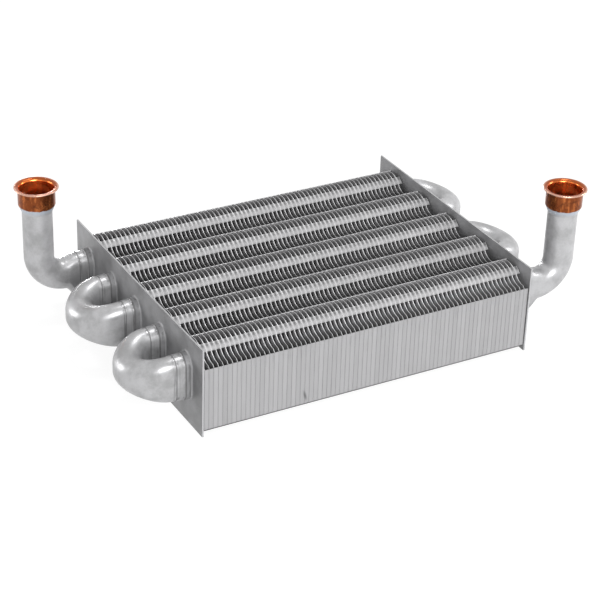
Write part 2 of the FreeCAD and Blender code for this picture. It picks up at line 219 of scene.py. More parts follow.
class Bench:
    """One material or world under construction."""

    def __init__(self, owner: bpy.types.Material | bpy.types.World) -> None:
        """Empties the owner's node tree.

        Args:
            owner: The new material or world.
        """
        owner.use_nodes = True
        self.owner = owner
        self.tree = owner.node_tree
        self.tree.nodes.clear()

    @classmethod
    def for_material(cls, name: str) -> "Bench":
        """Starts an empty material."""
        return cls(bpy.data.materials.new(name))

    def node(
        self,
        kind: str,
        settings: dict[str, object] | None = None,
        inputs: dict[int | str, object] | None = None,
        output: int | str = 0,
    ) -> Signal | None:
        """Adds a node, sets it, and then fills its sockets.

        Args:
            kind: The node's type.
            settings: Its properties.
            inputs: A value or a link for each socket, by name or place.
            output: The socket that is handed back.

        Returns:
            The chosen output, or nothing for a node that has none.
        """
        made = self.tree.nodes.new(kind)
        for key, value in (settings or {}).items():
            setattr(made, key, value)
        for key, value in (inputs or {}).items():
            if isinstance(value, Signal):
                self.tree.links.new(value.socket, made.inputs[key])
            else:
                made.inputs[key].default_value = value
        return Signal(self, made.outputs[output]) if made.outputs else None

    def place(self) -> Signal:
        """The point of the surface in the frame of the CAD."""
        return self.node("ShaderNodeTexCoord", output="Object")

    def axes(self, vector: Signal) -> tuple[Signal, Signal, Signal]:
        """The three parts of a vector."""
        outputs = self.node("ShaderNodeSeparateXYZ", inputs={0: vector}).socket.node.outputs
        return tuple(Signal(self, outputs[i]) for i in range(3))

    def turned(self) -> Signal:
        """How far the surface faces along the tubes: 0 not at all, 1 squarely."""
        normal = self.node("ShaderNodeNewGeometry", output="Normal")
        return abs(self.axes(normal)[0])

    def noise(self, vector: Signal, pattern: Noise) -> Signal:
        """Reads a smooth noise.

        Args:
            vector: The point where it is read.
            pattern: The noise.

        Returns:
            A number around 0.5.
        """
        if pattern.stretch:
            inputs = {0: vector, 1: pattern.stretch}
            vector = self.node("ShaderNodeVectorMath", {"operation": "MULTIPLY"}, inputs)
        inputs = {
            "Vector": vector,
            "Scale": pattern.scale,
            "Detail": pattern.detail,
            "Roughness": pattern.roughness,
        }
        return self.node("ShaderNodeTexNoise", None, inputs)

    def dice(self, number: Signal) -> Signal:
        """A random number from 0 to 1 for each value of another number."""
        return self.node("ShaderNodeTexWhiteNoise", {"noise_dimensions": "1D"}, {"W": number})

    def blend(self, factor: Signal, first: Signal | Colour, second: Signal | Colour) -> Signal:
        """Mixes two colours.

        Args:
            factor: 0 for the first, 1 for the second.
            first: The first colour.
            second: The second colour.

        Returns:
            The mixed colour.
        """
        inputs = {0: factor, 6: self._filled(first), 7: self._filled(second)}
        return self.node("ShaderNodeMix", {"data_type": "RGBA"}, inputs, output=2)

    def shaded(self, colour: Signal | Colour, amount: Signal) -> Signal:
        """Multiplies a colour by a number.

        Args:
            colour: The colour.
            amount: The number.

        Returns:
            The lighter or darker colour.
        """
        grey = self.node("ShaderNodeCombineXYZ", None, {0: amount, 1: amount, 2: amount})
        settings = {"data_type": "RGBA", "blend_type": "MULTIPLY"}
        inputs = {0: 1.0, 6: self._filled(colour), 7: grey}
        return self.node("ShaderNodeMix", settings, inputs, output=2)

    @staticmethod
    def _filled(colour: Signal | Colour) -> Signal | Filled:
        """A colour with its alpha, or the signal as it is."""
        return colour if isinstance(colour, Signal) else (*colour, 1.0)

    def bump(self, height: Signal, depth: float) -> Signal:
        """A surface that rises and falls.

        Args:
            height: The height, as a multiple of the depth.
            depth: The real height that 1 stands for.

        Returns:
            The normal.
        """
        inputs = {"Height": height, "Distance": depth, "Strength": 1.0}
        return self.node("ShaderNodeBump", None, inputs)

    def finish(self, values: dict[str, object]) -> bpy.types.Material:
        """Adds the shader and closes the material.

        Args:
            values: A value or a link for each socket of the shader.

        Returns:
            The material.
        """
        shader = self.node("ShaderNodeBsdfPrincipled", None, values)
        self.node("ShaderNodeOutputMaterial", None, {"Surface": shader})
        return self.owner

    def seen(self) -> Signal:
        """Tells what the camera sees from what lights the part.

        Returns:
            A factor that is 1 for what the camera sees, itself or in metal or glass.
        """
        outputs = self.node("ShaderNodeLightPath").socket.node.outputs
        glossy = Signal(self, outputs["Is Glossy Ray"])
        through = Signal(self, outputs["Is Transmission Ray"])
        return Signal(self, outputs["Is Camera Ray"]).larger(glossy).larger(through)


@dataclass(frozen=True)
class Finish(ABC):
    """A finish that varies over its piece."""

    name: str

    @abstractmethod
    def surface(self, bench: Bench) -> dict[str, object]:
        """Works out what the shader gets.

        Args:
            bench: The material.

        Returns:
            A value or a link for each socket of the shader.
        """

    def build(self) -> bpy.types.Material:
        """Makes the material."""
        bench = Bench.for_material(self.name)
        return bench.finish(self.surface(bench))


@dataclass(frozen=True)
class SilverCoat(Finish):
    """Satin aluminium-silver coating on a pressed or bent copper piece.

    Attributes:
        tone: The darker clouds of the coat.
        pale: The paler clouds of the coat.
        stain: Burnt flux at the joints.
        cloud_height: How much the clouds rise beside the grain.
        cloud_dulling: How much rougher the palest clouds are than the darkest.
        rim_lift: How far off the collar's rim the dark line there has its middle.
        rim_seam: How far that line reaches from its middle.
        end_seam: How far the dark line at the socket's end reaches from its middle.
        rim_smudge: How far single stains reach from the collar's rim.
        end_smudge: How far they reach from the socket's end.
        end_fade: How strong the line at the socket's end is beside the one at the rim.
        smudge_fade: How strong single stains are beside the lines.
        stain_share: How much of the coat a full stain hides.
        stain_dulling: How much rougher a full stain is.
    """

    name: str = "silver_coat"
    tone: Colour = (0.37, 0.37, 0.375)
    pale: Colour = (0.52, 0.52, 0.53)
    stain: Colour = (0.10, 0.098, 0.10)
    metallic: float = 0.42
    gloss: float = 0.5
    roughness: float = 0.35
    clouds: Noise = Noise(75.0, 5.0, 0.62)
    cloud_edges: Span = (0.32, 0.64)
    cloud_height: float = 1.5
    cloud_dulling: float = 0.25
    grain: Noise = Noise(1.0 / (0.9 * MM), 3.0, 0.6)
    grain_depth: float = 0.035 * MM
    grain_shade: Span = (0.9, 1.1)
    swells: Noise = Noise(62.0, 1.5)
    swell_depth: float = 0.7 * MM
    drips: Noise = Noise(stretch=(700.0, 700.0, 40.0))
    rim_lift: float = 0.2 * MM
    rim_seam: float = 0.6 * MM
    end_seam: float = 0.5 * MM
    rim_smudge: float = 3.6 * MM
    end_smudge: float = 3.0 * MM
    end_fade: float = 0.85
    smudge_fade: float = 0.85
    seam_edges: Span = (0.1, 0.45)
    smudge_edges: Span = (0.46, 0.62)
    stain_share: float = 0.9
    stain_dulling: float = 0.2

    def soil(self, out: Signal, drips: Signal) -> Signal:
        """Burnt flux around the collars and sockets.

        Args:
            out: The distance from the middle of the pack, along the tubes.
            drips: Noise drawn out downwards.

        Returns:
            A mask that is 1 where the stain covers the coat.
        """
        seams = out.near(COLLAR_RIM + self.rim_lift, self.rim_seam)
        seams = seams.larger(out.near(SOCKET_END, self.end_seam) * self.end_fade)
        smudges = out.near(COLLAR_RIM, self.rim_smudge)
        smudges = smudges.larger(out.near(SOCKET_END, self.end_smudge))
        smudges = smudges * drips.ramp(*self.smudge_edges) * self.smudge_fade
        return (seams * drips.ramp(*self.seam_edges)).larger(smudges)

    def surface(self, bench: Bench) -> dict[str, object]:
        """Works out what the shader gets.

        Args:
            bench: The material.

        Returns:
            A value or a link for each socket of the shader.
        """
        place = bench.place()
        cloud = bench.noise(place, self.clouds)
        grain = bench.noise(place, self.grain)
        swell = bench.noise(place, self.swells)
        soil = self.soil(abs(bench.axes(place)[0]), bench.noise(place, self.drips))
        colour = bench.blend(cloud.ramp(*self.cloud_edges), self.tone, self.pale)
        colour = bench.shaded(colour, grain.between(*self.grain_shade))
        height = grain + cloud * self.cloud_height + swell * (self.swell_depth / self.grain_depth)
        rough = self.roughness + (cloud - NOISE_MEAN) * self.cloud_dulling
        return {
            "Base Color": bench.blend(soil.share(self.stain_share), colour, self.stain),
            "Metallic": self.metallic,
            "Specular IOR Level": self.gloss,
            "Roughness": rough + soil * self.stain_dulling,
            "Normal": bench.bump(height, self.grain_depth),
        }


@dataclass(frozen=True)
class BareMouth(SilverCoat):
    """Silver coating that ends under a bare copper bell.

    Attributes:
        edge_height: Where the coating ends on the outside.
        edge_wander: How far apart the lowest and highest points of that edge may lie.
        shoulder_foot: The height of the foot of the bell's shoulder.
        shoulder_top: The heights between which the inside's limit goes from pipe to bell.
        mouth: The height of the top of the rolled lip.
        bell_limit: A radius within the wall of the bell.
        pipe_limit: A radius within the wall of the pipe below the bell.
        limit_fade: How far within such a radius the colours of the inside are full.
        inside_foot: How far below the shoulder's foot copper starts inside and is full.
        throat_drop: How far below the mouth the painted shade inside starts.
        rim_drop: How far below the mouth the rolled lip's colours start and are full.
        rim_start: How far within the bell's limit they start.
        outside: The bare bell from outside.
        inside: Its inside, near the mouth.
        throat: Painted shade on its inside deep below, also the colour of its stripes.
        flare: The top of the rolled lip.
        lip: A painted highlight on the outermost edge of the lip.
        lip_span: How far out from the bell's limit the painted highlight on the lip's edge starts
            and is full.
        tarnish: Blotches on the outside.
        warm: Brighter patches on the outside.
        tint: Heat tint of the coating under its edge.
        tint_drop: How far under that edge the tint is strongest.
        tint_reach: How far the tint reaches from there.
        polish: How much smoother copper is than the coating.
        inside_polish: How much smoother it is still inside.
        blotch_dulling: How much rougher a blotch is.
    """

    name: str = "coat_with_bare_copper"
    edge_height: float = 85.4 * MM
    edge_fade: float = 0.15 * MM
    edge_wander: float = 1.8 * MM
    shoulder_foot: float = 81.0 * MM
    shoulder_top: Span = (85.6 * MM, 85.9 * MM)
    mouth: float = 97.5 * MM
    bell_limit: float = 11.0 * MM
    pipe_limit: float = 8.95 * MM
    limit_fade: float = 0.2 * MM
    inside_foot: Span = (5.0 * MM, 1.0 * MM)
    throat_drop: float = 6.0 * MM
    rim_drop: Span = (1.8 * MM, 1.0 * MM)
    rim_start: float = 0.4 * MM
    lip_span: Span = (1.3 * MM, 2.4 * MM)
    outside: Colour = (0.22, 0.057, 0.017)
    inside: Colour = (0.95, 0.27, 0.065)
    throat: Colour = (0.30, 0.05, 0.013)
    flare: Colour = (0.36, 0.085, 0.024)
    lip: Colour = (0.62, 0.36, 0.27)
    tarnish: Colour = (0.09, 0.026, 0.012)
    warm: Colour = (0.55, 0.17, 0.05)
    tint: Colour = (0.50, 0.56, 0.66)
    tint_drop: float = 1.4 * MM
    tint_reach: float = 3.0 * MM
    tint_share: float = 0.6
    copper_metallic: float = 0.92
    polish: float = 0.12
    inside_polish: float = 0.08
    wander: Noise = Noise(380.0)
    blotches: Noise = Noise(300.0, 4.0, 0.65)
    blotch_edges: Span = (0.48, 0.7)
    blotch_share: float = 0.7
    blotch_dulling: float = 0.1
    glows: Noise = Noise(stretch=(500.0, 500.0, 160.0))
    glow_edges: Span = (0.45, 0.7)
    glow_share: float = 0.8
    stripes: Noise = Noise(detail=2.0, stretch=(230.0, 230.0, 20.0))
    stripe_edges: Span = (0.46, 0.6)
    stripe_share: float = 0.5

    def copper(
        self, bench: Bench, z: Signal, radius: Signal, hollow: Signal, blotch: Signal
    ) -> Signal:
        """Works out the colours of the bare bell.

        Args:
            bench: The material.
            z: The height.
            radius: The distance from the riser's axis.
            hollow: A mask that is 1 inside the bell and its pipe.
            blotch: Noise in patches.

        Returns:
            The colour.
        """
        place = bench.place()
        glow = bench.noise(place, self.glows).ramp(*self.glow_edges)
        outer = bench.blend(glow.share(self.glow_share), self.outside, self.warm)
        tarnished = blotch.ramp(*self.blotch_edges).share(self.blotch_share)
        outer = bench.blend(tarnished, outer, self.tarnish)
        stripe = bench.noise(place, self.stripes).ramp(*self.stripe_edges)
        # Painted shade: the inside darkens from the mouth down to the shoulder's foot.
        depth = z.ramp(self.mouth - self.throat_drop, self.shoulder_foot)
        inner = bench.blend(depth, self.inside, self.throat)
        inner = bench.blend(stripe.share(self.stripe_share), inner, self.throat)
        start, full = self.rim_drop
        on_rim = z.ramp(self.mouth - start, self.mouth - full)
        on_rim = on_rim * radius.ramp(self.bell_limit - self.rim_start, self.bell_limit)
        # Painted highlight on the lip's outermost edge.
        start, full = self.lip_span
        outermost = radius.ramp(self.bell_limit + start, self.bell_limit + full)
        rounded = bench.blend(outermost, self.flare, self.lip)
        return bench.blend(on_rim, bench.blend(hollow, outer, inner), rounded)

    def surface(self, bench: Bench) -> dict[str, object]:
        """Works out what the shader gets.

        Args:
            bench: The material.

        Returns:
            A value or a link for each socket of the shader.
        """
        coated = super().surface(bench)
        place = bench.place()
        x, y, z = bench.axes(place)
        radius = ((abs(x) - RISER_X) ** 2.0 + (abs(y) - RISER_Y) ** 2.0) ** 0.5
        level = z + (bench.noise(place, self.wander) - NOISE_MEAN) * self.edge_wander
        limit = z.ramp(*self.shoulder_top).between(self.pipe_limit, self.bell_limit)
        hollow = (limit - radius).ramp(0.0, self.limit_fade)
        start, full = self.inside_foot
        within = hollow * z.ramp(self.shoulder_foot - start, self.shoulder_foot - full)
        above = level.ramp(self.edge_height - self.edge_fade, self.edge_height + self.edge_fade)
        bare = above.larger(within)
        tinted = level.near(self.edge_height - self.tint_drop, self.tint_reach)
        blotch = bench.noise(place, self.blotches)
        copper = self.copper(bench, z, radius, hollow, blotch)
        silver = bench.blend(tinted.share(self.tint_share), coated["Base Color"], self.tint)
        polished = coated["Roughness"] - bare * self.polish - within * self.inside_polish
        return {
            "Base Color": bench.blend(bare, silver, copper),
            "Metallic": bare.between(self.metallic, self.copper_metallic),
            "Specular IOR Level": self.gloss,
            "Roughness": polished + blotch * bare * self.blotch_dulling,
            "Normal": coated["Normal"],
        }


@dataclass(frozen=True)
class PlateCoat(Finish):
    """Coating of an end plate, with the faint marks of rolling and dipping.

    Attributes:
        edge: The paler colour along the sheet's edges.
        base_shade: The shade of the coat before the marks lighten it.
        rolled_shade: How much the rolling marks lighten it.
        grain_shade: How much the grain lightens it.
        side_turn: How far a face turns along the tubes before it is no paler edge.
        rim_band: Where the paler edge stops and where it is full, out from the sheet's face.
        seam: How far from the collar's rim its dark line reaches.
        root: How far out from the sheet a collar's stains are strongest, and fade both ways.
    """

    name: str = "plate_coat"
    tone: Colour = (0.27, 0.27, 0.275)
    pale: Colour = (0.39, 0.39, 0.40)
    edge: Colour = (0.50, 0.50, 0.51)
    stain: Colour = (0.12, 0.118, 0.12)
    metallic: float = 0.12
    gloss: float = 0.3
    roughness: float = 0.42
    clouds: Noise = Noise(55.0, 5.0, 0.62)
    cloud_edges: Span = (0.34, 0.68)
    cloud_dulling: float = 0.2
    rolling: Noise = Noise(stretch=(60.0, 60.0, 1500.0))
    grain: Noise = Noise(1300.0, 2.0)
    drips: Noise = Noise(stretch=(500.0, 500.0, 45.0))
    base_shade: float = 0.88
    rolled_shade: float = 0.12
    grain_shade: float = 0.12
    side_turn: Span = (0.5, 0.85)
    rim_band: Span = (0.9 * MM, 0.3 * MM)
    seam: float = 0.6 * MM
    seam_share: float = 0.5
    root: float = 1.6 * MM
    root_edges: Span = (0.48, 0.66)
    root_share: float = 0.7
    cloud_depth: float = 0.025 * MM
    grain_height: float = 0.6
    rolled_height: float = 0.5

    def surface(self, bench: Bench) -> dict[str, object]:
        """Works out what the shader gets.

        Args:
            bench: The material.

        Returns:
            A value or a link for each socket of the shader.
        """
        place = bench.place()
        out = abs(bench.axes(place)[0])
        cloud = bench.noise(place, self.clouds)
        rolled = bench.noise(place, self.rolling)
        grain = bench.noise(place, self.grain)
        drips = bench.noise(place, self.drips)
        start, end = self.rim_band
        rim = 1.0 - bench.turned().ramp(*self.side_turn)
        rim = rim * out.ramp(PLATE_FACE + start, PLATE_FACE + end)
        colour = bench.blend(cloud.ramp(*self.cloud_edges), self.tone, self.pale)
        shade = self.base_shade + rolled * self.rolled_shade + grain * self.grain_shade
        colour = bench.blend(rim, bench.shaded(colour, shade), self.edge)
        seam = out.near(COLLAR_RIM, self.seam) * self.seam_share
        root = out.near(PLATE_FACE + self.root, self.root)
        root = root * drips.ramp(*self.root_edges) * self.root_share
        height = grain * self.grain_height + rolled * self.rolled_height + cloud
        return {
            "Base Color": bench.blend(seam.larger(root), colour, self.stain),
            "Metallic": self.metallic,
            "Specular IOR Level": self.gloss,
            "Roughness": self.roughness + (cloud - NOISE_MEAN) * self.cloud_dulling,
            "Normal": bench.bump(height, self.cloud_depth),
        }


@dataclass(frozen=True)
class FinSpot:
    """Where a point of the fin pack lies.

    Attributes:
        x: Its place along the tubes.
        y: Its place from the front to the rear.
        z: Its height.
        lot: A random number from 0 to 1 for its fin.
        step: Its way from this fin to the next, from 0 to 1.
        wave: Its way from a valley, -1, to a crest, 1, of the scalloped edge.
        cloud: Soft noise.
        fine: Noise in fine upright streaks.
    """

    x: Signal
    y: Signal
    z: Signal
    lot: Signal
    step: Signal
    wave: Signal
    cloud: Signal
    fine: Signal


@dataclass(frozen=True)
class FinCoat(Finish):
    """Coating of the thin fins: bright on the tabs and the folded edges, dull along the cut edges,
    with painted light and shade.

    Attributes:
        wall: The front and rear walls of folded edges.
        tab: The tabs on the slopes.
        edge: The cut edges.
        face: The fins' faces, near the scalloped edge.
        deep: Painted shade on the fins' faces, deep between them.
        shade: Painted shade on the tabs, across the gap to the next fin and towards their ends.
        streak: Streaks down the walls.
        foot: Painted contact shadow along the lower edge of the walls, and the scuff on the front
            one.
        first_fin: The face of the first fin, from the middle of the pack.
        fold_start: The share of the pitch by which a fin starts before its face.
        edge_middle: The middle height of the scalloped edge.
        edge_swing: How far that edge rises and falls from there.
        face_turn: How far a face turns along the tubes before it is a fin's flat face.
        face_lift: How much painted light brightens the flat faces below and above the tabs.
        wall_span: The distances from the middle between which the walls start.
        wall_top: The heights between which the streaks grow.
        wall_foot: The heights between which the painted contact shadow along the lower edge starts.
        wall_lot: How much one fin's wall differs from the next.
        pleat_dip: How fast painted shade darkens a wall from the middle of a fin towards its
            joints.
        deep_span: The depths below the edge between which the painted shade on the faces starts and
            is full.
        tab_foot: Where a tab starts, on the way from a valley to a crest.
        tab_head: Where a tab ends.
        tab_lot: How much one tab differs from the next.
        fold_edges: Where the painted shade across a tab starts, on the way to the next fin.
        fold_end: Where it ends.
        head_dark: Where the painted shade on a tab grows towards the crest.
        foot_dark: Where it grows towards the valley.
        foot_dark_share: How strong the painted shade at the valley's end is beside the crest's.
        tab_dark: How much of the painted shade across a tab shows, in the middle of a tab and at
            its end.
        low_start: Where the painted light on the edges below the tabs starts.
        low_end: Where it ends.
        high_start: Where the painted light on the edges above the tabs starts.
        high_end: Where it ends.
        cut_lot: How much one fin's cut edge differs from the next.
        cut_low: How much painted light brightens a cut edge below the tabs.
        cut_high: How much painted light brightens it above them.
        scuff_x: The scuff's place along the tubes.
        scuff_z: The scuff's height.
        scuff_lean: How far it leans to the right, for each step down.
        scuff_fade: The place in front of which it is full, so that only the front wall has it.
    """

    name: str = "fin_coat"
    wall: Colour = (0.41, 0.407, 0.415)
    tab: Colour = (0.54, 0.537, 0.545)
    edge: Colour = (0.50, 0.498, 0.505)
    face: Colour = (0.31, 0.308, 0.313)
    deep: Colour = (0.08, 0.08, 0.08)
    shade: Colour = (0.13, 0.13, 0.132)
    streak: Colour = (0.31, 0.307, 0.31)
    foot: Colour = (0.10, 0.10, 0.10)
    metallic: float = 0.12
    gloss: float = 0.25
    roughness: float = 0.36
    lot_dulling: float = 0.06
    cloud_dulling: float = 0.1
    clouds: Noise = Noise(80.0, 4.0)
    grain: Noise = Noise(1500.0, 2.0)
    streaks: Noise = Noise(roughness=0.6, stretch=(1100.0, 300.0, 60.0))
    streak_edges: Span = (0.5, 0.72)
    streak_share: Span = (0.25, 0.6)
    bump_depth: float = 0.02 * MM
    first_fin: float = 111.0 * MM
    fold_start: float = 0.03
    edge_middle: float = 50.3 * MM
    edge_swing: float = 4.3 * MM
    face_turn: Span = (0.5, 0.8)
    face_lift: float = 1.3
    wall_span: Span = (88.9 * MM, 89.2 * MM)
    wall_top: Span = (26.0 * MM, 44.0 * MM)
    wall_foot: Span = (4.5 * MM, 3.8 * MM)
    wall_shade: float = 0.9
    wall_lot: float = 0.1
    wall_cloud: float = 0.08
    pleat_shade: float = 1.03
    pleat_dip: float = 0.14
    deep_span: Span = (0.5 * MM, 7.0 * MM)
    tab_foot: Span = (-0.18, -0.13)
    tab_head: Span = (0.57, 0.54)
    tab_shade: float = 0.85
    tab_streaks: float = 0.2
    tab_lot: float = 0.1
    fold_edges: Span = (0.16, 0.5)
    fold_end: Span = (1.0, 0.8)
    head_dark: Span = (0.03, 0.38)
    foot_dark: Span = (0.0, -0.14)
    foot_dark_share: float = 0.55
    tab_dark: Span = (0.32, 0.94)
    low_start: Span = (-0.97, -0.3)
    low_end: Span = (0.1, -0.1)
    high_start: Span = (0.4, 0.57)
    high_end: Span = (1.08, 0.6)
    cut_shade: float = 0.8
    cut_lot: float = 0.3
    cut_low: float = 0.75
    cut_high: float = 0.6
    scuff_x: float = -44.7 * MM
    scuff_z: float = 9.5 * MM
    scuff_lean: float = 0.25
    scuff_width: float = 1.5 * MM
    scuff_height: float = 5.0 * MM
    scuff_fade: float = -80.0 * MM
    scuff_share: float = 0.8

    def spot(self, bench: Bench, place: Signal) -> FinSpot:
        """Works out where a point lies.

        Args:
            bench: The material.
            place: The point.

        Returns:
            Its place on its fin.
        """
        x, y, z = bench.axes(place)
        count = (x + self.first_fin) / FIN_PITCH + self.fold_start
        return FinSpot(
            x=x,
            y=y,
            z=z,
            lot=bench.dice(count.floor()),
            step=count - count.floor(),
            wave=(y * (2.0 * math.pi / TUBE_PITCH)).cosine(),
            cloud=bench.noise(place, self.clouds),
            fine=bench.noise(place, self.streaks),
        )

    def wall_colour(self, bench: Bench, spot: FinSpot) -> Signal:
        """Works out the colour of the front and rear walls.

        Args:
            bench: The material.
            spot: The point on its fin.

        Returns:
            The colour.
        """
        streaks = spot.z.ramp(*self.wall_top).between(*self.streak_share)
        streaks = spot.fine.ramp(*self.streak_edges) * streaks
        sheet = bench.blend(streaks.clamped(), self.wall, self.streak)
        shade = self.wall_shade + spot.lot * self.wall_lot + spot.cloud * self.wall_cloud
        sheet = bench.shaded(sheet, shade)
        slanted = spot.x - self.scuff_x + (spot.z - self.scuff_z) * self.scuff_lean
        scuff = slanted.near(0.0, self.scuff_width) * spot.z.near(self.scuff_z, self.scuff_height)
        scuff = scuff * spot.y.ramp(0.0, self.scuff_fade)
        # Painted contact shadow along the walls' lower edge, plus the scuff on the front wall.
        dark = spot.z.ramp(*self.wall_foot).larger(scuff * self.scuff_share)
        sheet = bench.blend(dark, sheet, self.foot)
        # Painted shade: each fin's wall is lighter at its middle and darker towards its joints.
        return bench.shaded(sheet, self.pleat_shade - abs(spot.step - HALF_WAY) * self.pleat_dip)

    def tab_colour(self, bench: Bench, spot: FinSpot) -> Signal:
        """Works out the colour of the tabs, with painted shade across them and towards both ends.

        Args:
            bench: The material.
            spot: The point on its fin.

        Returns:
            The colour.
        """
        # Painted shade in the gap across each tab, stronger towards both ends of the tab.
        gap_shade = spot.step.ramp(*self.fold_edges) * spot.step.ramp(*self.fold_end)
        ends = spot.wave.ramp(*self.head_dark)
        ends = ends.larger(spot.wave.ramp(*self.foot_dark) * self.foot_dark_share)
        dark = (gap_shade * ends.between(*self.tab_dark)).clamped()
        tab = bench.blend(dark, self.tab, self.shade)
        shade = self.tab_shade + spot.fine * self.tab_streaks + spot.lot * self.tab_lot
        return bench.shaded(tab, shade)

    def surface(self, bench: Bench) -> dict[str, object]:
        """Works out what the shader gets.

        Args:
            bench: The material.

        Returns:
            A value or a link for each socket of the shader.
        """
        place = bench.place()
        spot = self.spot(bench, place)
        wave = spot.wave
        # Painted light: the cut edges and faces are brighter on the slopes just below and just
        # above the tabs.
        low = wave.ramp(*self.low_start) * wave.ramp(*self.low_end)
        high = wave.ramp(*self.high_end) * wave.ramp(*self.high_start)
        on_tab = wave.ramp(*self.tab_foot) * wave.ramp(*self.tab_head)
        shade = self.cut_shade + spot.lot * self.cut_lot + low * self.cut_low + high * self.cut_high
        cut = bench.blend(on_tab, bench.shaded(self.edge, shade), self.tab_colour(bench, spot))
        on_wall = abs(spot.y).ramp(*self.wall_span)
        thin = bench.blend(on_wall, cut, self.wall_colour(bench, spot))
        # Painted shade: the faces darken with depth below the scalloped edge, where the fins shade
        # each other.
        depth = self.edge_middle + wave * self.edge_swing - spot.z
        face = bench.shaded(self.face, 1.0 + low * self.face_lift + high * self.face_lift)
        face = bench.blend(depth.ramp(*self.deep_span), face, self.deep)
        rough = self.roughness + spot.lot * self.lot_dulling
        grain = bench.noise(place, self.grain)
        return {
            "Base Color": bench.blend(bench.turned().ramp(*self.face_turn), thin, face),
            "Metallic": self.metallic,
            "Specular IOR Level": self.gloss,
            "Roughness": rough + (spot.cloud - NOISE_MEAN) * self.cloud_dulling,
            "Normal": bench.bump(grain + spot.fine, self.bump_depth),
        }


@dataclass(frozen=True)
class RolledStrip(Finish):
    """Plain rolled steel strip of the turbulators."""

    name: str = "rolled_strip"
    tone: Colour = (0.46, 0.45, 0.44)
    dark: Colour = (0.30, 0.295, 0.285)
    metallic: float = 0.95
    roughness: float = 0.32
    rolling: Noise = Noise(stretch=(90.0, 2500.0, 2500.0))
    line_edges: Span = (0.3, 0.7)
    line_dulling: float = 0.15
    line_depth: float = 0.01 * MM

    def surface(self, bench: Bench) -> dict[str, object]:
        """Works out what the shader gets.

        Args:
            bench: The material.

        Returns:
            A value or a link for each socket of the shader.
        """
        rolled = bench.noise(bench.place(), self.rolling)
        return {
            "Base Color": bench.blend(rolled.ramp(*self.line_edges), self.dark, self.tone),
            "Metallic": self.metallic,
            "Roughness": self.roughness + rolled * self.line_dulling,
            "Normal": bench.bump(rolled, self.line_depth),
        }


def dress(node: bpy.types.Object, material: bpy.types.Material) -> None:
    """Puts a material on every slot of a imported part.

    Args:
        node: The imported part.
        material: Its finish.
    """
    if not node.material_slots:
        node.data.materials.append(material)
    for slot in node.material_slots:
        slot.material = material
    LOG.info("%s: %s", node.name, material.name)


def add_object(name: str, data: bpy.types.ID) -> bpy.types.Object:
    """Puts a mesh, a lamp or a camera into the scene.

    Args:
        name: The object's name.
        data: The mesh, the lamp or the camera.

    Returns:
        The object.
    """
    made = bpy.data.objects.new(name, data)
    bpy.context.scene.collection.objects.link(made)
    return made


@dataclass
class WaterPath:
    """Tubes, turbulators, return bends and elbows.

    Attributes:
        nodes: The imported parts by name.
        coat: The silver coating that the braze shares.
    """

    nodes: dict[str, bpy.types.Object]
    coat: bpy.types.Material

    def dress(self) -> None:
        """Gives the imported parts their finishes."""
        mouth = BareMouth().build()
        strip = RolledStrip().build()
        for name, node in self.nodes.items():
            if name.startswith(("tube", "return_bend")):
                dress(node, self.coat)
            elif name.endswith("elbow"):
                dress(node, mouth)
            elif name.startswith("turbulator"):
                dress(node, strip)


